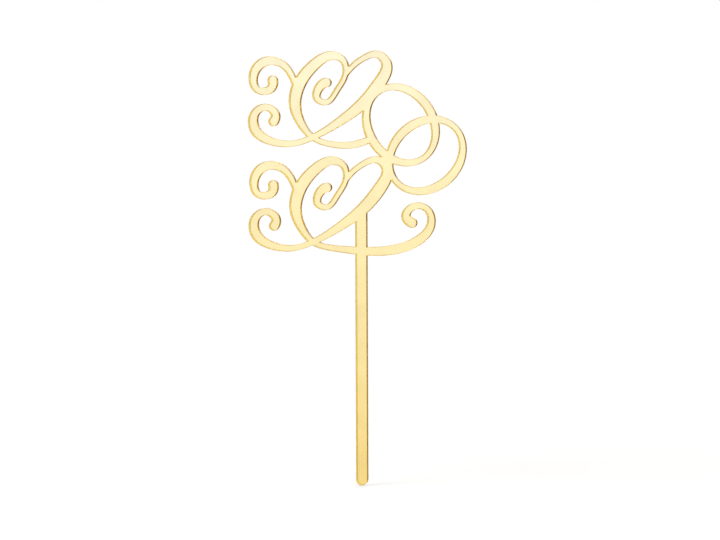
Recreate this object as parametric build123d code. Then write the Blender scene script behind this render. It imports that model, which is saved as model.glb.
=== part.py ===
from build123d import *
import os
from math import atan2, cos, radians, sin, sqrt

# Cake topper: a flat ornament on a stake, laser-cut in one outline from gold mirror acrylic.
# Two brush-drawn hearts stand one above the other. Each throws a pair of scrolls to the left,
# a pair of linked rings ties them together on the right, and the stake hangs from the lower heart.
# The sheet is a laminate, so each layer is a piece: tinted acrylic in front, the mirror film
# laid on its back, and the lacquer that guards the film.
# Millimetres. X is across, Z is up, the front looks along -Y. The origin is on the stake's
# centre line, where the stake enters the top of the cake.

# Layers of the sheet, front to back
acrylic_thickness = 2.75
film_thickness = 0.10
lacquer_thickness = 0.15

# Hearts: the lower one's point stands this high above the cake, the upper one's a pitch higher
heart_half_width = 19.7
heart_height = 38.2
heart_lean = 19.7
heart_pitch = 50.6
lower_heart_height = 28.0
bold_width = 6.0

# Stake, its length measured from the height of the lower heart's point down to its end
stake_width = 5.5
stake_length = 118.0
stake_depth_in_cake = stake_length - lower_heart_height

# Scrolls
left_scroll_reach = 29.8
right_scroll_reach = 58.1

# Linked rings
ring_long_radius = 20.8
ring_short_radius = 17.8
ring_thin_band = 2.9
ring_thick_band = 4.3
upper_ring_tilt = 125.0
lower_ring_tilt = 40.0

# Brush strokes of a heart, drawn from its point at the bottom. Each row is a place on the stroke's
# centre line, across as a share of the half width and up as a share of the height, and the stroke's
# width there as a share of the bold width.
left_lobe_shares = [
    (-0.34, 0.69, 0.78),
    (-0.46, 0.61, 0.68),
    (-0.37, 0.49, 0.56),
    (-0.11, 0.44, 0.46),
    (0.02, 0.58, 0.44),
    (0.03, 0.80, 0.44),
    (-0.20, 0.97, 0.52),
    (-0.52, 1.03, 0.68),
    (-0.86, 0.92, 0.88),
    (-1.00, 0.68, 1.00),
    (-0.86, 0.42, 0.92),
    (-0.45, 0.17, 0.64),
    (0.00, 0.00, 0.48),
]
right_lobe_shares = [
    (0.05, 0.77, 0.34),
    (0.11, 0.89, 0.44),
    (0.30, 1.00, 0.48),
    (0.60, 1.04, 0.60),
    (0.92, 0.93, 0.80),
    (1.00, 0.70, 1.00),
    (0.84, 0.44, 0.96),
    (0.44, 0.18, 0.68),
    (0.00, 0.00, 0.48),
]

# Scrolls, from the heart's point: across as a share of the scroll's reach, up as a share of the
# heart's height, and the stroke's width as a share of the bold width.
lower_left_scroll_shares = [
    (-0.33, -0.08, 0.48),
    (-0.69, -0.05, 0.64),
    (-0.96, 0.10, 0.80),
    (-0.96, 0.30, 0.68),
    (-0.78, 0.38, 0.56),
    (-0.63, 0.31, 0.66),
    (-0.65, 0.20, 0.78),
]
upper_left_scroll_shares = [
    (-0.31, 0.72, 0.48),
    (-0.51, 0.93, 0.60),
    (-0.81, 0.95, 0.74),
    (-0.98, 0.78, 0.70),
    (-0.91, 0.60, 0.56),
    (-0.72, 0.60, 0.66),
    (-0.66, 0.72, 0.78),
]
upper_left_scroll_root_weight_share = 0.40
right_scroll_shares = [
    (0.19, -0.08, 0.50),
    (0.42, -0.11, 0.64),
    (0.68, -0.09, 0.76),
    (0.90, 0.04, 0.76),
    (1.00, 0.24, 0.64),
    (0.97, 0.42, 0.52),
    (0.86, 0.46, 0.54),
    (0.79, 0.36, 0.66),
    (0.84, 0.25, 0.78),
]

# The upper heart's link to its ring: along the way there, and up as a share of the heart's height
ring_link_shares = [
    (0.34, -0.09, 0.48),
    (0.71, -0.09, 0.56),
]
ring_link_end_weight_share = 0.48
ring_link_landing_angle = 204.0

# Places along a lobe's stroke, as shares of its length: where the upper left scroll leaves it,
# where each ring bears on it and where the stake hangs from it
scroll_root_share = 0.735
upper_ring_root_share = 0.565
lower_ring_root_share = 0.33
stake_root_share = 0.64

stations_per_span = 6


def lobe_rows(shares):
    """Centre line of a heart's lobe in millimetres, from the heart's point: across, up and width."""
    return [
        (across * heart_half_width + up * heart_lean, up * heart_height, weight * bold_width)
        for across, up, weight in shares
    ]


def scroll_rows(shares, reach):
    """Centre line of a scroll in millimetres, from the heart's point: across, up and width."""
    return [(across * reach, up * heart_height, weight * bold_width) for across, up, weight in shares]


def shifted(rows, place):
    """The same rows, moved so that their zero is at a place in the drawing."""
    return [(across + place.X, up + place.Y, width) for across, up, width in rows]


def left_of(direction):
    """Unit vector to the left of a direction in the drawing."""
    return Vector(-direction.Y, direction.X).normalized()


def brush_stroke(rows):
    """A stroke of changing width along a smooth centre line, with a round cap at both ends."""
    line = Spline(*rows)
    steps = stations_per_span * (len(rows) - 1)
    left_edge, right_edge = [], []
    for step in range(steps + 1):
        place = line @ (step / steps)
        aside = left_of(line % (step / steps)) * (place.Z / 2)
        middle = Vector(place.X, place.Y)
        left_edge.append(middle + aside)
        right_edge.append(middle - aside)
    return make_face([
        Spline(*left_edge),
        round_cap(left_edge[-1], right_edge[-1]),
        Spline(*reversed(right_edge)),
        round_cap(right_edge[0], left_edge[0]),
    ])


def round_cap(first, last):
    """Half circle from one corner of a stroke's end to the other, bulging out of the stroke."""
    half_chord = (last - first) / 2
    return ThreePointArc(first, first + half_chord + Vector(-half_chord.Y, half_chord.X), last)


def ring_reach(tilt, direction, long_radius, short_radius):
    """Distance from a tilted oval's centre to its edge in a direction of the drawing."""
    angle = atan2(direction.Y, direction.X) - radians(tilt)
    return 1 / sqrt((cos(angle) / long_radius)**2 + (sin(angle) / short_radius)**2)


def ring_place(lobe, root_share, tip, tilt):
    """Centre of a ring whose outer edge runs through the middle of a lobe's stroke."""
    root = lobe @ root_share
    outward = left_of(lobe % root_share)
    reach = ring_reach(tilt, outward, ring_long_radius, ring_short_radius)
    return tip + Vector(root.X, root.Y) + outward * reach


def ring(place, tilt):
    """Oval ring with a band that is thin at its long ends, drawn at its place and tilt."""
    outer = Ellipse(ring_long_radius, ring_short_radius)
    inner = Ellipse(ring_long_radius - ring_thin_band, ring_short_radius - ring_thick_band)
    return Pos(place.X, place.Y) * Rot(0, 0, tilt) * (outer - inner)


def ring_link(tip, place, tilt):
    """Rows from a heart's point to the middle of a ring's band."""
    landing_angle = radians(ring_link_landing_angle)
    way = Vector(cos(landing_angle), sin(landing_angle))
    landing = place + way * ring_reach(
        tilt,
        way,
        ring_long_radius - ring_thin_band / 2,
        ring_short_radius - ring_thick_band / 2,
    )
    span = landing.X - tip.X
    rows = [
        (tip.X + along * span, tip.Y + up * heart_height, weight * bold_width)
        for along, up, weight in ring_link_shares
    ]
    return rows + [(landing.X, landing.Y, ring_link_end_weight_share * bold_width)]


def stake(top):
    """Straight stake from inside the lower heart's stroke to its round end in the cake."""
    end_radius = stake_width / 2
    end_height = end_radius - stake_depth_in_cake
    shank = Pos(0, (top + end_height) / 2) * Rectangle(stake_width, top - end_height)
    return shank + Pos(0, end_height) * Circle(end_radius)


def heart_and_scrolls(tip, left_lobe_exit):
    """Strokes of one heart: two lobes that cross at its point, and the two scrolls at its left."""
    left_rows = lobe_rows(left_lobe_shares)
    root = Spline(*left_rows) @ scroll_root_share
    upper_scroll = [(root.X, root.Y, upper_left_scroll_root_weight_share * bold_width)]
    upper_scroll += scroll_rows(upper_left_scroll_shares, left_scroll_reach)
    lower_scroll = scroll_rows(lower_left_scroll_shares, left_scroll_reach)
    return [
        brush_stroke(shifted(left_rows, tip) + left_lobe_exit),
        brush_stroke(shifted(lobe_rows(right_lobe_shares) + lower_scroll, tip)),
        brush_stroke(shifted(upper_scroll, tip)),
    ]


def topper_outline():
    """The one outline that every layer is cut to."""
    right_lobe = Spline(*lobe_rows(right_lobe_shares))
    stake_root = right_lobe @ stake_root_share
    lower_tip = Vector(-stake_root.X, lower_heart_height)
    upper_tip = lower_tip + Vector(0, heart_pitch)
    upper_ring = ring_place(right_lobe, upper_ring_root_share, upper_tip, upper_ring_tilt)
    lower_ring = ring_place(right_lobe, lower_ring_root_share, lower_tip, lower_ring_tilt)
    right_scroll = shifted(scroll_rows(right_scroll_shares, right_scroll_reach), lower_tip)
    faces = heart_and_scrolls(upper_tip, ring_link(upper_tip, upper_ring, upper_ring_tilt))
    faces += heart_and_scrolls(lower_tip, right_scroll)
    faces += [ring(upper_ring, upper_ring_tilt), ring(lower_ring, lower_ring_tilt)]
    faces += [stake(lower_tip.Y + stake_root.Y)]
    return Sketch() + faces


def layer(outline, front, thickness):
    """One layer of the sheet, from its front face backwards."""
    return extrude(Plane.XZ.offset(-front) * outline, amount=-thickness)


outline = topper_outline()
sheet_front = -(acrylic_thickness + film_thickness + lacquer_thickness) / 2
film_front = sheet_front + acrylic_thickness
lacquer_front = film_front + film_thickness

nodes = {
    "acrylic_sheet": layer(outline, sheet_front, acrylic_thickness),
    "mirror_film": layer(outline, film_front, film_thickness),
    "back_lacquer": layer(outline, lacquer_front, lacquer_thickness),
}

os.makedirs("parts", exist_ok=True)
for name, piece in nodes.items():
    export_step(piece, f"parts/{name}.step")
    box = piece.bounding_box()
    print(name, len(piece.solids()), "solid", [round(v, 2) for v in (*box.min, *box.max)])
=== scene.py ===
"""Looks of the cake topper: gold mirror acrylic, laser-cut from sheet, in a white studio."""

import logging
import math
from dataclasses import dataclass, field
from enum import Enum
from typing import Protocol

import bmesh
import bpy
import numpy as np
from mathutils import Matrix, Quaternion, Vector


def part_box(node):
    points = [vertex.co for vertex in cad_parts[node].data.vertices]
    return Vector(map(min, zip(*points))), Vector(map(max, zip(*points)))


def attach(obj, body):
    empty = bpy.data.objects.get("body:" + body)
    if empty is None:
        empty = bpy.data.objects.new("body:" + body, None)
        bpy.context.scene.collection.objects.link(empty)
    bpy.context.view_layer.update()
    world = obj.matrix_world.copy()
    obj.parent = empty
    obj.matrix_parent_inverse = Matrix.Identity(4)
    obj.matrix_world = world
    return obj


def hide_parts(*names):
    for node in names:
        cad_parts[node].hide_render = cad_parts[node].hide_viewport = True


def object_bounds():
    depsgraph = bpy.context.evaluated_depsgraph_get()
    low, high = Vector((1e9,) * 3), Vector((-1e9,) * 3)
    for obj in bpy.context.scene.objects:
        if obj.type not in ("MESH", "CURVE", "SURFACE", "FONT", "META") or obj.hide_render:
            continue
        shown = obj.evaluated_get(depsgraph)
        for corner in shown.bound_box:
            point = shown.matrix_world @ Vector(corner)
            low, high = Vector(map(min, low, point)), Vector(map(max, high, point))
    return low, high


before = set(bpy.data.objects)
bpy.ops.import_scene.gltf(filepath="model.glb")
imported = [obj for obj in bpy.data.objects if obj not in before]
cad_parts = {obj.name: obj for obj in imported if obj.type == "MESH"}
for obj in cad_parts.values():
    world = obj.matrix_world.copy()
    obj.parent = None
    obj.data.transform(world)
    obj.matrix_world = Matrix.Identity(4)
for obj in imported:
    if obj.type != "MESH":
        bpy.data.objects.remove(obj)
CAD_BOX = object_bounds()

LOG = logging.getLogger("cake_topper")
MM = 0.001
BODY = "root"
WHITE = "#FFFFFF"

Colour = tuple[float, float, float, float]
Span = tuple[float, float]
PanelRow = tuple[tuple[float, str], ...]

# The span that most of a noise texture's values lie in
NOISE_SPAN: Span = (0.3, 0.7)


class Layer(Enum):
    """The layers of the sheet, front to back, each with its CAD node's name."""

    ACRYLIC = "acrylic_sheet"
    FILM = "mirror_film"
    LACQUER = "back_lacquer"


def linear(colour: str) -> Colour:
    """Turn an sRGB hex colour into the linear one that sockets take.

    Args:
        colour: Six hex digits after a hash sign.

    Returns:
        Linear red, green, blue and an alpha of 1.
    """
    shares = [int(colour[i:i + 2], 16) / 255 for i in (1, 3, 5)]
    red, green, blue = (
        share / 12.92 if share <= 0.04045 else ((share + 0.055) / 1.055) ** 2.4 for share in shares
    )
    return red, green, blue, 1.0


def per_metre(size_mm: float) -> float:
    """Scale of a texture whose features are that many millimetres apart."""
    return 1.0 / (size_mm * MM)


def add_node(
    tree: bpy.types.NodeTree,
    kind: str,
    inputs: dict[str | int, object] | None = None,
    stops: list[tuple[float, str]] | None = None,
    **settings: object,
) -> bpy.types.Node:
    """Add a node with its settings and links.

    Args:
        tree: The node tree that takes the node.
        kind: The node's type name.
        inputs: By socket name or number, a value, an output to link, or a list of outputs.
        stops: Places and sRGB hex colours, for a node that has a colour ramp.
        **settings: The node's own properties.

    Returns:
        The new node.
    """
    node = tree.nodes.new(kind)
    for name, value in settings.items():
        setattr(node, name, value)
    for key, value in (inputs or {}).items():
        sources = value if isinstance(value, list) else [value]
        for source in sources:
            if isinstance(source, bpy.types.NodeSocket):
                tree.links.new(source, node.inputs[key])
            else:
                node.inputs[key].default_value = source
    if stops:
        elements = node.color_ramp.elements
        while len(elements) < len(stops):
            elements.new(1.0)
        for element, (place, colour) in zip(elements, stops):
            element.position = place
            element.color = linear(colour)
    return node


def blank_material(name: str) -> bpy.types.Material:
    """Make a material whose node tree is still empty.

    Args:
        name: The material's name.

    Returns:
        The material.
    """
    material = bpy.data.materials.new(name)
    material.use_nodes = True
    material.node_tree.nodes.clear()
    return material


class Finish(Protocol):
    """What a layer is dressed in."""

    def make(self) -> bpy.types.Material:
        """Make the finish's material."""


@dataclass(frozen=True)
class TintedAcrylic:
    """Cast acrylic, dyed gold and laser-cut: glass-clear faces, cut walls in a deeper amber."""

    ior: float = 1.49
    dye: str = "#FFF59A"
    dye_density: float = 36.0
    face_tint: str = "#FFF4CF"
    face_roughness: Span = (0.008, 0.03)
    smudge_mm: float = 9.0
    smudge_span: Span = (0.45, 0.75)
    wall_pale: str = "#E4B22C"
    wall_deep: str = "#B07E10"
    wall_roughness: Span = (0.10, 0.20)
    wall_clearness: float = 0.82
    striation_mm: float = 0.30
    striation_length_mm: float = 6.0
    striation_depth_mm: float = 0.008
    striation_strength: float = 0.5

    def make(self) -> bpy.types.Material:
        """Make the material; the mesh's cut_wall attribute tells the cut walls from the faces.

        Returns:
            The material.
        """
        material = blank_material("tinted_cast_acrylic")
        tree = material.node_tree
        place = add_node(tree, "ShaderNodeTexCoord")
        cut = add_node(tree, "ShaderNodeAttribute", attribute_name="cut_wall")
        # Handling leaves a faint bloom on the polished faces, seen only as a slightly softer mirror.
        smudge = add_node(tree, "ShaderNodeTexNoise", {
            "Vector": place.outputs["Object"], "Scale": per_metre(self.smudge_mm), "Detail": 3.0})
        face_roughness = add_node(tree, "ShaderNodeMapRange", {
            "Value": smudge.outputs["Fac"],
            "From Min": self.smudge_span[0], "From Max": self.smudge_span[1],
            "To Min": self.face_roughness[0], "To Max": self.face_roughness[1]})
        # The beam leaves fine lines across the thickness of the sheet, so the walls glint in streaks.
        across = per_metre(self.striation_mm)
        through = per_metre(self.striation_length_mm)
        beam = add_node(tree, "ShaderNodeMapping", {
            "Vector": place.outputs["Object"], "Scale": (across, through, across)})
        streak = add_node(tree, "ShaderNodeTexNoise", {
            "Vector": beam.outputs["Vector"], "Scale": 1.0, "Detail": 2.0})
        wall_roughness = add_node(tree, "ShaderNodeMapRange", {
            "Value": streak.outputs["Fac"],
            "From Min": NOISE_SPAN[0], "From Max": NOISE_SPAN[1],
            "To Min": self.wall_roughness[0], "To Max": self.wall_roughness[1]})
        wall_colour = add_node(
            tree, "ShaderNodeValToRGB", {"Fac": streak.outputs["Fac"]},
            stops=[(NOISE_SPAN[0], self.wall_deep), (NOISE_SPAN[1], self.wall_pale)])
        colour = add_node(tree, "ShaderNodeMix", {
            0: cut.outputs["Fac"], 6: linear(self.face_tint), 7: wall_colour.outputs["Color"]},
            data_type="RGBA")
        roughness = add_node(tree, "ShaderNodeMix", {
            0: cut.outputs["Fac"],
            2: face_roughness.outputs["Result"], 3: wall_roughness.outputs["Result"]},
            data_type="FLOAT")
        # The heat of the beam clouds the walls, so they glow in their own colour.
        clearness = add_node(tree, "ShaderNodeMapRange", {
            "Value": cut.outputs["Fac"], "To Min": 1.0, "To Max": self.wall_clearness})
        relief = add_node(tree, "ShaderNodeMath", {
            0: streak.outputs["Fac"], 1: cut.outputs["Fac"]}, operation="MULTIPLY")
        bump = add_node(tree, "ShaderNodeBump", {
            "Strength": self.striation_strength, "Distance": self.striation_depth_mm * MM,
            "Height": relief.outputs["Value"]})
        surface = add_node(tree, "ShaderNodeBsdfPrincipled", {
            "Base Color": colour.outputs[2], "Roughness": roughness.outputs[0],
            "Normal": bump.outputs["Normal"], "IOR": self.ior,
            "Transmission Weight": clearness.outputs["Result"]})
        # The dye is all through the sheet, so the gold deepens with the light's way in it.
        body = add_node(tree, "ShaderNodeVolumeAbsorption", {
            "Color": linear(self.dye), "Density": self.dye_density})
        add_node(tree, "ShaderNodeOutputMaterial", {
            "Surface": surface.outputs["BSDF"], "Volume": body.outputs["Volume"]})
        return material


@dataclass(frozen=True)
class VacuumAluminium:
    """Aluminium laid on the acrylic's back in a vacuum: a bright mirror with the least haze."""

    bright: str = "#FBFAF7"
    hazed: str = "#EFEDE8"
    haze_mm: float = 14.0
    haze_colour_span: Span = (0.35, 0.80)
    haze_roughness_span: Span = (0.3, 0.8)
    roughness: Span = (0.02, 0.06)
    wave_mm: float = 22.0
    wave_depth_mm: float = 0.004

    def make(self) -> bpy.types.Material:
        """Make the material.

        Returns:
            The material.
        """
        material = blank_material("vacuum_aluminium_film")
        tree = material.node_tree
        place = add_node(tree, "ShaderNodeTexCoord")
        haze = add_node(tree, "ShaderNodeTexNoise", {
            "Vector": place.outputs["Object"], "Scale": per_metre(self.haze_mm), "Detail": 4.0})
        colour = add_node(
            tree, "ShaderNodeValToRGB", {"Fac": haze.outputs["Fac"]},
            stops=[(self.haze_colour_span[0], self.bright), (self.haze_colour_span[1], self.hazed)])
        roughness = add_node(tree, "ShaderNodeMapRange", {
            "Value": haze.outputs["Fac"],
            "From Min": self.haze_roughness_span[0], "From Max": self.haze_roughness_span[1],
            "To Min": self.roughness[0], "To Max": self.roughness[1]})
        # Sheet stock is never quite flat, and the mirror shows it as a slow swim in what it reflects.
        wave = add_node(tree, "ShaderNodeTexNoise", {
            "Vector": place.outputs["Object"], "Scale": per_metre(self.wave_mm), "Detail": 0.0})
        bump = add_node(tree, "ShaderNodeBump", {
            "Strength": 1.0, "Distance": self.wave_depth_mm * MM, "Height": wave.outputs["Fac"]})
        surface = add_node(tree, "ShaderNodeBsdfPrincipled", {
            "Base Color": colour.outputs["Color"], "Metallic": 1.0,
            "Roughness": roughness.outputs["Result"], "Normal": bump.outputs["Normal"]})
        add_node(tree, "ShaderNodeOutputMaterial", {"Surface": surface.outputs["BSDF"]})
        return material


@dataclass(frozen=True)
class SprayedLacquer:
    """Grey lacquer sprayed over the film: satin, with a fine orange peel and a scorched rim."""

    coat_pale: str = "#A39E94"
    coat_deep: str = "#918C83"
    scorched: str = "#6E6150"
    roughness: Span = (0.36, 0.50)
    drift_mm: float = 18.0
    peel_mm: float = 0.8
    peel_depth_mm: float = 0.02
    peel_strength: float = 0.4

    def make(self) -> bpy.types.Material:
        """Make the material; the mesh's near_cut attribute tells the rim.

        Returns:
            The material.
        """
        material = blank_material("sprayed_grey_lacquer")
        tree = material.node_tree
        place = add_node(tree, "ShaderNodeTexCoord")
        near = add_node(tree, "ShaderNodeAttribute", attribute_name="near_cut")
        # The gun's passes overlap, so the coat drifts a little in shade from place to place.
        drift = add_node(tree, "ShaderNodeTexNoise", {
            "Vector": place.outputs["Object"], "Scale": per_metre(self.drift_mm), "Detail": 5.0})
        coat = add_node(
            tree, "ShaderNodeValToRGB", {"Fac": drift.outputs["Fac"]},
            stops=[(NOISE_SPAN[0], self.coat_deep), (NOISE_SPAN[1], self.coat_pale)])
        # Orange peel, and the same droplets as a slight unevenness in the gloss.
        peel = add_node(tree, "ShaderNodeTexNoise", {
            "Vector": place.outputs["Object"], "Scale": per_metre(self.peel_mm), "Detail": 2.0})
        roughness = add_node(tree, "ShaderNodeMapRange", {
            "Value": peel.outputs["Fac"],
            "From Min": NOISE_SPAN[0], "From Max": NOISE_SPAN[1],
            "To Min": self.roughness[0], "To Max": self.roughness[1]})
        # The beam browns the coat beside the cut, in specks where the droplets stand proud.
        scorch = add_node(tree, "ShaderNodeMath", {
            0: near.outputs["Fac"], 1: peel.outputs["Fac"]}, operation="MULTIPLY")
        colour = add_node(tree, "ShaderNodeMix", {
            0: scorch.outputs["Value"], 6: coat.outputs["Color"], 7: linear(self.scorched)},
            data_type="RGBA")
        bump = add_node(tree, "ShaderNodeBump", {
            "Strength": self.peel_strength, "Distance": self.peel_depth_mm * MM,
            "Height": peel.outputs["Fac"]})
        surface = add_node(tree, "ShaderNodeBsdfPrincipled", {
            "Base Color": colour.outputs[2], "Roughness": roughness.outputs["Result"],
            "Normal": bump.outputs["Normal"]})
        add_node(tree, "ShaderNodeOutputMaterial", {"Surface": surface.outputs["BSDF"]})
        return material


@dataclass(frozen=True)
class StudioPaper:
    """White paper floor that fades into the white background and keeps a soft shadow."""

    paper: str = "#F4F3F1"
    weight: float = 0.50
    glow: float = 0.49
    grain_mm: float = 1.5
    tooth_depth_mm: float = 0.05
    tooth_strength: float = 0.1
    fade_start: float = 0.12
    fade_end: float = 0.42

    def make(self) -> bpy.types.Material:
        """Make the material; rays other than the camera's pass through to the background.

        Returns:
            The material.
        """
        material = blank_material("white_studio_paper")
        tree = material.node_tree
        place = add_node(tree, "ShaderNodeTexCoord")
        reach = add_node(tree, "ShaderNodeVectorMath", {
            0: place.outputs["Object"], 1: (1.0, 1.0, 0.0)}, operation="MULTIPLY")
        away = add_node(tree, "ShaderNodeVectorMath", {0: reach.outputs["Vector"]}, operation="LENGTH")
        fade = add_node(tree, "ShaderNodeMapRange", {
            "Value": away.outputs["Value"], "From Min": self.fade_start, "From Max": self.fade_end,
            "To Min": 1.0, "To Max": 0.0}, interpolation_type="SMOOTHSTEP")
        path = add_node(tree, "ShaderNodeLightPath")
        looked_at = add_node(tree, "ShaderNodeMath", {
            0: fade.outputs["Result"], 1: path.outputs["Is Camera Ray"]}, operation="MULTIPLY")
        # Seen from below, the paper is not there, so that it hides nothing of the stake.
        side = add_node(tree, "ShaderNodeNewGeometry")
        above = add_node(tree, "ShaderNodeMath", {
            0: 1.0, 1: side.outputs["Backfacing"]}, operation="SUBTRACT")
        shown = add_node(tree, "ShaderNodeMath", {
            0: looked_at.outputs["Value"], 1: above.outputs["Value"]}, operation="MULTIPLY")
        grain = add_node(tree, "ShaderNodeTexNoise", {
            "Vector": place.outputs["Object"], "Scale": per_metre(self.grain_mm), "Detail": 2.0})
        tooth = add_node(tree, "ShaderNodeBump", {
            "Strength": self.tooth_strength, "Distance": self.tooth_depth_mm * MM,
            "Height": grain.outputs["Fac"]})
        # The lit part carries the shadow, and a glow lifts it to the white of the background.
        red, green, blue, _ = linear(self.paper)
        lit = add_node(tree, "ShaderNodeBsdfDiffuse", {
            "Color": (self.weight * red, self.weight * green, self.weight * blue, 1.0),
            "Normal": tooth.outputs["Normal"]})
        glow = add_node(tree, "ShaderNodeEmission", {"Color": linear(WHITE), "Strength": self.glow})
        paper = add_node(tree, "ShaderNodeAddShader", {
            0: lit.outputs["BSDF"], 1: glow.outputs["Emission"]})
        clear = add_node(tree, "ShaderNodeBsdfTransparent")
        mixed = add_node(tree, "ShaderNodeMixShader", {
            0: shown.outputs["Value"], 1: clear.outputs["BSDF"], 2: paper.outputs["Shader"]})
        add_node(tree, "ShaderNodeOutputMaterial", {"Surface": mixed.outputs["Shader"]})
        return material


@dataclass
class CutLine:
    """The line that the laser follows, the same for every layer, in the plane of the sheet.

    A facet longer than straight is a straight run, and a turn past corner stays a corner. A
    smoothed curve has a point at every spacing. A mitre is at most longest_mitre steps long,
    and fold_limit keeps it finite where the line doubles back.
    """

    node: str
    front_tolerance: float = 0.01 * MM
    spacing: float = 0.35 * MM
    straight: float = 4.0 * MM
    corner: float = math.radians(33.0)
    longest_mitre: float = 2.2
    fold_limit: float = 0.05
    loops: list[np.ndarray] = field(default_factory=list)

    def read(self) -> None:
        """Read the loops round the CAD layer's front face, with the material at their left."""
        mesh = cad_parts[self.node].data
        places = np.empty(len(mesh.vertices) * 3, np.float32)
        mesh.vertices.foreach_get("co", places)
        mesh.calc_loop_triangles()
        corners = np.empty(len(mesh.loop_triangles) * 3, np.int32)
        mesh.loop_triangles.foreach_get("vertices", corners)
        points, merged = np.unique(places.reshape(-1, 3), axis=0, return_inverse=True)
        triangles = merged.ravel()[corners].reshape(-1, 3)
        level = points[:, 1]
        in_front = np.abs(level[triangles] - level.min()).max(axis=1) < self.front_tolerance
        front = triangles[in_front]
        edges = np.concatenate([front[:, [0, 1]], front[:, [1, 2]], front[:, [2, 0]]])
        known = {(int(a), int(b)) for a, b in edges}
        # An edge that no neighbour walks the other way is on the outline.
        after = {a: b for a, b in known if (b, a) not in known}
        while after:
            start, step = min(after.items())
            loop = [start]
            del after[start]
            while step != start:
                loop.append(step)
                step = after.pop(step)
            self.loops.append(self.smoothed(points[loop][:, [0, 2]].astype(float)))

    def smoothed(self, points: np.ndarray) -> np.ndarray:
        """Round a loop of facets back to the smooth curve that it was cut from.

        Args:
            points: The loop's points, across and up.

        Returns:
            The same points with more of them between, on cubic curves; corners stay sharp.
        """
        runs = np.roll(points, -1, axis=0) - points
        lengths = np.linalg.norm(runs, axis=1)
        ways = runs / lengths[:, None]
        before, length_before = np.roll(ways, 1, axis=0), np.roll(lengths, 1)
        turns = np.arccos(np.clip((ways * before).sum(axis=1), -1.0, 1.0))
        sharp = turns > self.corner
        # The curve leaves a point as the circle through it and its neighbours does, or along a
        # long straight run that ends there.
        leaving = before * lengths[:, None] + ways * length_before[:, None]
        leaving[length_before > self.straight] = before[length_before > self.straight]
        leaving[lengths > self.straight] = ways[lengths > self.straight]
        leaving /= np.linalg.norm(leaving, axis=1)[:, None]
        refined = []
        for i, (point, run, length, way) in enumerate(zip(points, runs, lengths, ways)):
            following = (i + 1) % len(points)
            steps = 1 if length > self.straight else math.ceil(length / self.spacing)
            first, last = leaving[i], leaving[following]
            # Beside a corner, the run is an arc that mirrors the way at its other end.
            if sharp[i]:
                first = way if sharp[following] else 2 * (last @ way) * way - last
            if sharp[following]:
                last = way if sharp[i] else 2 * (first @ way) * way - first
            for share in np.arange(steps) / steps:
                ease = share * share * (3 - 2 * share)
                pull_first = share * (1 - share) ** 2 * length
                pull_last = share * share * (1 - share) * length
                refined.append(point + ease * run + pull_first * first - pull_last * last)
        return np.array(refined)

    def outward(self, points: np.ndarray) -> np.ndarray:
        """Mitred step away from the material at each point of a loop.

        Args:
            points: The loop's points, across and up.

        Returns:
            A vector for each point, one unit long on straight runs and longer at corners.
        """
        ways = np.roll(points, -1, axis=0) - points
        ways /= np.linalg.norm(ways, axis=1)[:, None]
        aside = np.stack([ways[:, 1], -ways[:, 0]], axis=1)
        before = np.roll(aside, 1, axis=0)
        spread = np.maximum(1 + (aside * before).sum(axis=1), self.fold_limit)
        steps = (aside + before) / spread[:, None]
        reach = np.linalg.norm(steps, axis=1)[:, None]
        return steps * np.minimum(1.0, self.longest_mitre / reach)

    def host(self, name: str) -> bpy.types.Object:
        """Make an object of the loops, flat in its own XY plane, for the cutter to work on.

        Args:
            name: The object's name.

        Returns:
            The object, whose points carry their outward step.
        """
        points = np.concatenate(self.loops)
        steps = np.concatenate([self.outward(loop) for loop in self.loops])
        edges, first = [], 0
        for loop in self.loops:
            count = len(loop)
            edges += [(first + i, first + (i + 1) % count) for i in range(count)]
            first += count
        mesh = bpy.data.meshes.new(name)
        flat = np.zeros((len(points), 1))
        mesh.from_pydata(np.hstack([points, flat]).tolist(), edges, [])
        attribute = mesh.attributes.new("outward", "FLOAT_VECTOR", "POINT")
        attribute.data.foreach_set("vector", np.hstack([steps, flat]).astype(np.float32).ravel())
        item = bpy.data.objects.new(name, mesh)
        bpy.context.scene.collection.objects.link(item)
        return item


@dataclass(frozen=True)
class SectionRing:
    """One ring of a layer's section.

    It lies at the height of a side's face, and steps inwards and up by shares of that side's
    arris, and further inwards by a share of the rim.
    """

    side: str
    arris: str
    inwards: float
    rise: float
    rim: float = 0.0


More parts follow.
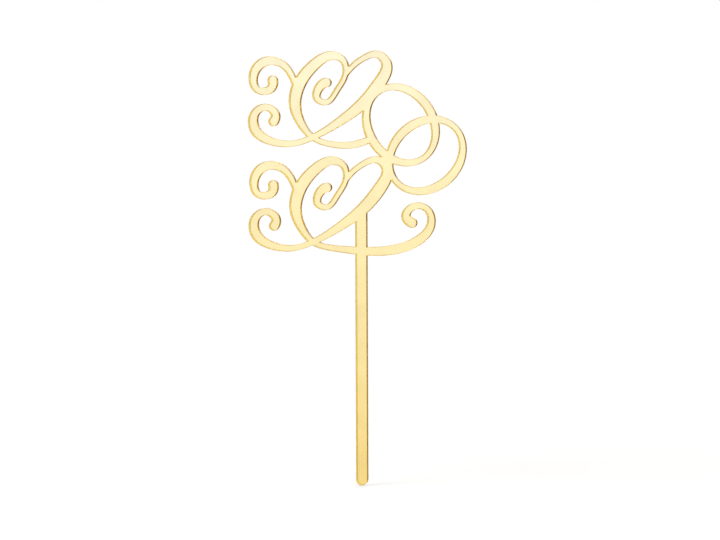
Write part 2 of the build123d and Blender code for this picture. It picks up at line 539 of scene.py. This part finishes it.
@dataclass
class SheetCutter:
    """Geometry Nodes that cut a layer out along the cut line and round its arrises."""

    arris_steps: int = 3
    weld: float = 0.001 * MM
    crease: float = math.radians(40.0)
    sizes: tuple[str, ...] = ("Front", "Back", "Front Arris", "Back Arris", "Inset", "Rim")
    tree: bpy.types.NodeTree | None = None

    def build(self) -> None:
        """Build the tree: walls from the front's rim to the back's, then both faces."""
        tree = bpy.data.node_groups.new("cut_from_sheet", "GeometryNodeTree")
        self.tree = tree
        tree.interface.new_socket("Cut Line", in_out="INPUT", socket_type="NodeSocketGeometry")
        for size in self.sizes:
            tree.interface.new_socket(size, in_out="INPUT", socket_type="NodeSocketFloat")
        tree.interface.new_socket("Material", in_out="INPUT", socket_type="NodeSocketMaterial")
        tree.interface.new_socket("Layer", in_out="OUTPUT", socket_type="NodeSocketGeometry")
        given = add_node(tree, "NodeGroupInput").outputs
        place = add_node(tree, "GeometryNodeInputPosition")
        kept = add_node(tree, "GeometryNodeStoreNamedAttribute", {
            "Geometry": given["Cut Line"], "Name": "cut_line", "Value": place.outputs[0]},
            data_type="FLOAT_VECTOR", domain="POINT")
        rings = self.section(given)
        front_line, back_line = (
            add_node(tree, "GeometryNodeSetPosition", {
                "Geometry": kept.outputs[0], "Position": ring}).outputs[0]
            for ring in (rings[0], rings[-1])
        )
        walls = self.walls(front_line, rings)
        front = self.face(front_line, rings[0])
        back = add_node(tree, "GeometryNodeFlipFaces", {"Mesh": self.face(back_line, rings[-1])})
        joined = add_node(tree, "GeometryNodeJoinGeometry", {
            "Geometry": [walls, back.outputs[0], front]})
        welded = add_node(tree, "GeometryNodeMergeByDistance", {
            "Geometry": joined.outputs[0], "Distance": self.weld})
        is_wall = add_node(
            tree, "GeometryNodeInputNamedAttribute", {"Name": "cut_wall"}, data_type="FLOAT")
        shaded = add_node(tree, "GeometryNodeSetShadeSmooth", {
            "Geometry": welded.outputs[0], "Shade Smooth": is_wall.outputs["Attribute"]})
        # The cut line lies flat, with the front face up; the topper stands, with its front to -Y.
        stood = add_node(tree, "GeometryNodeTransform", {
            "Geometry": shaded.outputs[0], "Rotation": (math.pi / 2, 0.0, 0.0)})
        real = add_node(tree, "GeometryNodeRealizeInstances", {"Geometry": stood.outputs[0]})
        dressed = add_node(tree, "GeometryNodeSetMaterial", {
            "Geometry": real.outputs[0], "Material": given["Material"]})
        add_node(tree, "NodeGroupOutput", {"Layer": dressed.outputs[0]})

    def section(self, given: bpy.types.bpy_prop_collection) -> list[bpy.types.NodeSocket]:
        """Places of the section's rings: rim, rounded arris, wall, rounded arris, rim.

        Args:
            given: The tree's inputs.

        Returns:
            For each ring, front to back, the socket that gives its points their place.
        """
        quarter = [math.radians(90.0 * k / self.arris_steps) for k in range(self.arris_steps + 1)]
        rings = [SectionRing("Front", "Front Arris", 1.0, 0.0, 1.0)]
        rings += [SectionRing("Front", "Front Arris", 1 - math.sin(a), math.cos(a) - 1) for a in quarter]
        rings += [SectionRing("Back", "Back Arris", 1 - math.cos(a), 1 - math.sin(a)) for a in quarter]
        rings += [SectionRing("Back", "Back Arris", 1.0, 0.0, 1.0)]
        tree = self.tree
        cut_line = add_node(
            tree, "GeometryNodeInputNamedAttribute", {"Name": "cut_line"}, data_type="FLOAT_VECTOR")
        outward = add_node(
            tree, "GeometryNodeInputNamedAttribute", {"Name": "outward"}, data_type="FLOAT_VECTOR")
        places = []
        for ring in rings:
            turned_in = add_node(tree, "ShaderNodeMath", {
                0: given[ring.arris], 1: ring.inwards, 2: given["Inset"]}, operation="MULTIPLY_ADD")
            inward = add_node(tree, "ShaderNodeMath", {
                0: given["Rim"], 1: ring.rim, 2: turned_in.outputs[0]}, operation="MULTIPLY_ADD")
            outset = add_node(tree, "ShaderNodeMath", {
                0: inward.outputs[0], 1: -1.0}, operation="MULTIPLY")
            height = add_node(tree, "ShaderNodeMath", {
                0: given[ring.arris], 1: ring.rise, 2: given[ring.side]}, operation="MULTIPLY_ADD")
            step = add_node(tree, "ShaderNodeVectorMath", {
                0: outward.outputs["Attribute"], "Scale": outset.outputs[0]}, operation="SCALE")
            level = add_node(tree, "ShaderNodeCombineXYZ", {"Z": height.outputs[0]})
            lifted = add_node(tree, "ShaderNodeVectorMath", {
                0: cut_line.outputs["Attribute"], 1: level.outputs[0]}, operation="ADD")
            place = add_node(tree, "ShaderNodeVectorMath", {
                0: lifted.outputs[0], 1: step.outputs[0]}, operation="ADD")
            places.append(place.outputs[0])
        return places

    def walls(
        self, line: bpy.types.NodeSocket, rings: list[bpy.types.NodeSocket]
    ) -> bpy.types.NodeSocket:
        """Draw a strip of faces from each ring to the next, and mark the cut walls and the rims.

        Args:
            line: Geometry of the first ring's edges.
            rings: The rings' places, front to back.

        Returns:
            Geometry of the strips.
        """
        tree = self.tree
        walls = line
        tops = None
        last = len(rings) - 1
        for number, ring in enumerate(rings[1:], start=1):
            strip = add_node(tree, "GeometryNodeExtrudeMesh", {
                "Mesh": walls, "Offset Scale": 0.0}, mode="EDGES")
            if tops is not None:
                tree.links.new(tops, strip.inputs["Selection"])
            tops = strip.outputs["Top"]
            moved = add_node(tree, "GeometryNodeSetPosition", {
                "Geometry": strip.outputs["Mesh"], "Selection": tops, "Position": ring})
            wall = add_node(tree, "GeometryNodeStoreNamedAttribute", {
                "Geometry": moved.outputs[0], "Selection": strip.outputs["Side"],
                "Name": "cut_wall", "Value": 0.0 if number in (1, last) else 1.0},
                data_type="FLOAT", domain="FACE")
            near = add_node(tree, "GeometryNodeStoreNamedAttribute", {
                "Geometry": wall.outputs[0], "Selection": tops,
                "Name": "near_cut", "Value": 0.0 if number == last else 1.0},
                data_type="FLOAT", domain="POINT")
            walls = near.outputs[0]
        return walls

    def face(self, line: bpy.types.NodeSocket, ring: bpy.types.NodeSocket) -> bpy.types.NodeSocket:
        """Fill a ring with a flat face at its own height.

        Args:
            line: Geometry of the ring's edges.
            ring: The ring's places, for the height.

        Returns:
            Geometry of the face.
        """
        tree = self.tree
        curve = add_node(tree, "GeometryNodeMeshToCurve", {"Mesh": line})
        filled = add_node(tree, "GeometryNodeFillCurve", {"Curve": curve.outputs[0]}, mode="TRIANGLES")
        one = add_node(tree, "GeometryNodeSampleIndex", {
            "Geometry": line, "Value": ring, "Index": 0}, data_type="FLOAT_VECTOR", domain="POINT")
        height = add_node(tree, "ShaderNodeSeparateXYZ", {0: one.outputs[0]})
        level = add_node(tree, "ShaderNodeCombineXYZ", {"Z": height.outputs["Z"]})
        lifted = add_node(tree, "GeometryNodeSetPosition", {
            "Geometry": filled.outputs[0], "Offset": level.outputs[0]})
        return lifted.outputs[0]

    def cut(
        self, name: str, line: CutLine, sizes: dict[str, float], material: bpy.types.Material
    ) -> bpy.types.Object:
        """Cut one layer.

        Args:
            name: Name of the piece.
            line: The cut line.
            sizes: The tree's inputs by name, in metres.
            material: The layer's finish.

        Returns:
            The piece as a plain mesh.
        """
        host = line.host(name + "_line")
        modifier = host.modifiers.new("cut", "NODES")
        modifier.node_group = self.tree
        sockets = {item.name: item.identifier for item in self.tree.interface.items_tree}
        for size, value in sizes.items():
            modifier[sockets[size]] = value
        modifier[sockets["Material"]] = material
        graph = bpy.context.evaluated_depsgraph_get()
        mesh = bpy.data.meshes.new_from_object(
            host.evaluated_get(graph), preserve_all_data_layers=True, depsgraph=graph)
        bpy.data.objects.remove(host)
        mesh.name = name
        self.finish(mesh)
        piece = bpy.data.objects.new(name, mesh)
        bpy.context.scene.collection.objects.link(piece)
        return piece

    def finish(self, mesh: bpy.types.Mesh) -> None:
        """Turn the faces outwards and keep the cut line's corners crisp.

        Args:
            mesh: The layer's mesh, which is changed.
        """
        work = bmesh.new()
        work.from_mesh(mesh)
        bmesh.ops.recalc_face_normals(work, faces=work.faces)
        for edge in work.edges:
            edge.smooth = edge.calc_face_angle(0.0) < self.crease
        work.to_mesh(mesh)
        work.free()
        for spare in ("cut_line", "outward"):
            if spare in mesh.attributes:
                mesh.attributes.remove(mesh.attributes[spare])


@dataclass(frozen=True)
class LayerCut:
    """How one layer is named, dressed and cut.

    Bedding is how far its front is sunk into the layer ahead, and inset how far its edge
    stays back from the cut line.
    """

    layer: Layer
    name: str
    slot: str
    finish: Finish
    bedding: float = 0.0
    inset: float = 0.0
    front_arris: float = 0.0
    back_arris: float = 0.0


@dataclass
class LaminatedSheet:
    """The topper itself: three layers cut along one line, each a piece of its own.

    A layer behind another is bedded into it by a hair, so that no two faces share a plane.
    """

    rim: float = 0.45 * MM
    cuts: tuple[LayerCut, ...] = (
        LayerCut(
            Layer.ACRYLIC, "gold_acrylic", "tinted_acrylic", TintedAcrylic(),
            front_arris=0.15 * MM,
        ),
        LayerCut(
            Layer.FILM, "aluminium_film", "mirror_film", VacuumAluminium(),
            bedding=0.03 * MM, inset=0.02 * MM,
        ),
        LayerCut(
            Layer.LACQUER, "grey_lacquer", "back_lacquer", SprayedLacquer(),
            bedding=0.03 * MM, inset=0.01 * MM, back_arris=0.05 * MM,
        ),
    )

    def build(self) -> list[bpy.types.Object]:
        """Cut the layers and dress them.

        Returns:
            The pieces, front to back.
        """
        line = CutLine(Layer.ACRYLIC.value)
        line.read()
        cutter = SheetCutter()
        cutter.build()
        pieces = []
        for cut in self.cuts:
            low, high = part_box(cut.layer.value)
            piece = cutter.cut(cut.name, line, {
                "Front": cut.bedding - low.y,
                "Back": -high.y,
                "Front Arris": cut.front_arris,
                "Back Arris": cut.back_arris,
                "Inset": cut.inset,
                "Rim": self.rim,
            }, cut.finish.make())
            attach(piece, BODY)
            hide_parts(cut.layer.value)
            pieces.append(piece)
        return pieces


@dataclass(frozen=True)
class SoftLamp:
    """A softbox: where it stands, how large and how strong it is."""

    name: str
    place: tuple[float, float, float]
    size: float
    watts: float

    def build(self, aim: Vector) -> bpy.types.Object:
        """Hang the lamp, turned to a point.

        Args:
            aim: The point that it lights.

        Returns:
            The lamp.
        """
        light = bpy.data.lights.new(self.name, "AREA")
        light.size = self.size
        light.energy = self.watts
        lamp = bpy.data.objects.new(self.name, light)
        lamp.location = self.place
        lamp.rotation_euler = (aim - lamp.location).to_track_quat("-Z", "Y").to_euler()
        lamp.visible_camera = False
        bpy.context.scene.collection.objects.link(lamp)
        return lamp


@dataclass
class Studio:
    """White studio: floor, softboxes, panels round about and the camera at the photograph's angle.

    A row of panels gives their colours by place: by how far a direction points up in the upright
    row, and by how far it points to the right in the rows ahead of the sheet and behind it. Those
    two run into each other over the overlap.
    """

    aim: tuple[float, float, float] = (-0.00074, 0.0, 0.0146)
    azimuth: float = math.radians(12.0)
    elevation: float = math.radians(4.0)
    roll: float = math.radians(-0.22)
    distance: float = 1.4
    lens: float = 145.0
    floor_gap: float = 0.2 * MM
    floor_radius: float = 0.5
    floor_sides: int = 96
    fill: str = "#C8C8C8"
    panel_strength: float = 1.36
    upright: PanelRow = (
        (-0.60, "#DCD0AC"), (-0.34, "#D7C8A0"), (-0.26, "#FFF6E0"), (-0.19, "#FFF6E0"),
        (-0.163, "#D9CAA2"), (-0.139, "#DFD0A6"), (-0.094, "#E3DBC3"), (-0.039, "#E7E6E0"),
        (0.0185, "#E7ECFF"), (0.09, "#E7ECFF"), (0.12, "#F0C860"), (0.17, "#F0C860"), (0.23, "#F2F2EA"),
    )
    ahead: PanelRow = (
        (-1.0, "#F2F2F2"), (-0.36, "#FFFFFF"), (-0.06, "#FFFFFF"), (0.15, "#FFF57C"),
        (0.36, "#FFF06C"), (0.70, "#F2EBDC"), (1.0, "#F4F4F4"),
    )
    behind: PanelRow = (
        (-1.0, "#F2F2F2"), (-0.30, "#F5F2EA"), (0.0, "#BFAE86"), (0.20, "#463410"),
        (0.50, "#7C6434"), (1.0, "#F0F0F0"),
    )
    overlap: float = 0.2
    lamps: tuple[SoftLamp, ...] = (
        SoftLamp("key_softbox", (-0.75, -0.55, 1.05), 0.9, 12.0),
        SoftLamp("fill_softbox", (0.9, -0.6, 0.7), 1.2, 4.0),
        SoftLamp("back_softbox", (0.2, 1.1, 0.9), 1.3, 7.0),
    )

    def build(self) -> None:
        """Set up everything round the object."""
        self.lay_floor()
        for lamp in self.lamps:
            lamp.build(Vector(self.aim))
        self.light_world()
        self.place_camera()
        bpy.context.scene.view_settings.view_transform = "Standard"

    def lay_floor(self) -> None:
        """Lay a round sheet of paper under the stake's end."""
        low = CAD_BOX[0][2] - self.floor_gap
        mesh = bpy.data.meshes.new("studio_floor")
        work = bmesh.new()
        bmesh.ops.create_circle(work, cap_ends=True, segments=self.floor_sides, radius=self.floor_radius)
        bmesh.ops.translate(work, vec=(0.0, 0.0, low), verts=work.verts)
        work.to_mesh(mesh)
        work.free()
        mesh.materials.append(StudioPaper().make())
        floor = bpy.data.objects.new("studio_floor", mesh)
        bpy.context.scene.collection.objects.link(floor)

    def panel_row(
        self, tree: bpy.types.NodeTree, part: bpy.types.NodeSocket, row: PanelRow
    ) -> bpy.types.NodeSocket:
        """Hang a row of panels round the object.

        Args:
            tree: The world's tree.
            part: The part of a direction that the row is laid out by.
            row: Places along that part, and the panel's colour at each.

        Returns:
            The row's colour in any direction.
        """
        low, high = row[0][0], row[-1][0]
        share = add_node(tree, "ShaderNodeMapRange", {"Value": part, "From Min": low, "From Max": high})
        panels = add_node(
            tree, "ShaderNodeValToRGB", {"Fac": share.outputs["Result"]},
            stops=[((place - low) / (high - low), colour) for place, colour in row])
        return panels.outputs["Color"]

    def light_world(self) -> None:
        """Surround the object with the panels that its mirror, walls and arrises show."""
        world = bpy.data.worlds.new("white_studio")
        world.use_nodes = True
        bpy.context.scene.world = world
        tree = world.node_tree
        tree.nodes.clear()
        path = add_node(tree, "ShaderNodeLightPath")
        place = add_node(tree, "ShaderNodeTexCoord")
        way = add_node(tree, "ShaderNodeSeparateXYZ", {0: place.outputs["Generated"]})
        # Upright: cool at the height of the head, warm down the stake and then a pale strip; above
        # the head, a gold flag that shows as a rim at the stake's end.
        upright = self.panel_row(tree, way.outputs["Z"], self.upright)
        ahead = self.panel_row(tree, way.outputs["X"], self.ahead)
        # Behind the sheet, at the right, a dark flag draws the edges of the strokes.
        behind = self.panel_row(tree, way.outputs["X"], self.behind)
        depth = add_node(tree, "ShaderNodeMapRange", {
            "Value": way.outputs["Y"], "From Min": -self.overlap, "From Max": self.overlap})
        round_about = add_node(tree, "ShaderNodeMix", {
            0: depth.outputs["Result"], 6: ahead, 7: behind}, data_type="RGBA")
        panels = add_node(tree, "ShaderNodeMix", {
            0: 1.0, 6: upright, 7: round_about.outputs[2]}, data_type="RGBA", blend_type="MULTIPLY")
        mirrored = add_node(tree, "ShaderNodeVectorMath", {
            0: panels.outputs[2], "Scale": self.panel_strength}, operation="SCALE")
        # Gloss and glass show the panels, a plain fill lights the rest, and the camera sees white.
        seen = add_node(tree, "ShaderNodeMath", {
            0: path.outputs["Is Glossy Ray"], 1: path.outputs["Is Transmission Ray"]},
            operation="MAXIMUM")
        soft = add_node(tree, "ShaderNodeMix", {
            0: seen.outputs[0], 6: linear(self.fill), 7: mirrored.outputs[0]}, data_type="RGBA")
        colour = add_node(tree, "ShaderNodeMix", {
            0: path.outputs["Is Camera Ray"], 6: soft.outputs[2], 7: linear(WHITE)}, data_type="RGBA")
        back = add_node(tree, "ShaderNodeBackground", {"Color": colour.outputs[2], "Strength": 1.0})
        add_node(tree, "ShaderNodeOutputWorld", {"Surface": back.outputs["Background"]})

    def place_camera(self) -> None:
        """Put the camera where the photograph was taken from."""
        data = bpy.data.cameras.new("camera")
        data.lens = self.lens
        camera = bpy.data.objects.new("camera", data)
        level = math.cos(self.elevation)
        way = Vector((
            math.sin(self.azimuth) * level, -math.cos(self.azimuth) * level, math.sin(self.elevation)))
        camera.location = Vector(self.aim) + self.distance * way
        level_view = (-way).to_track_quat("-Z", "Y")
        camera.rotation_euler = (level_view @ Quaternion((0.0, 0.0, 1.0), self.roll)).to_euler()
        bpy.context.scene.collection.objects.link(camera)
        bpy.context.scene.camera = camera


def main() -> None:
    """Build the topper, then the studio round it."""
    logging.basicConfig(level=logging.INFO, format="%(message)s")
    for piece in LaminatedSheet().build():
        LOG.info("%s: %d faces, rides on %s", piece.name, len(piece.data.polygons), BODY)
    Studio().build()


if __name__ == "__main__":
    main()
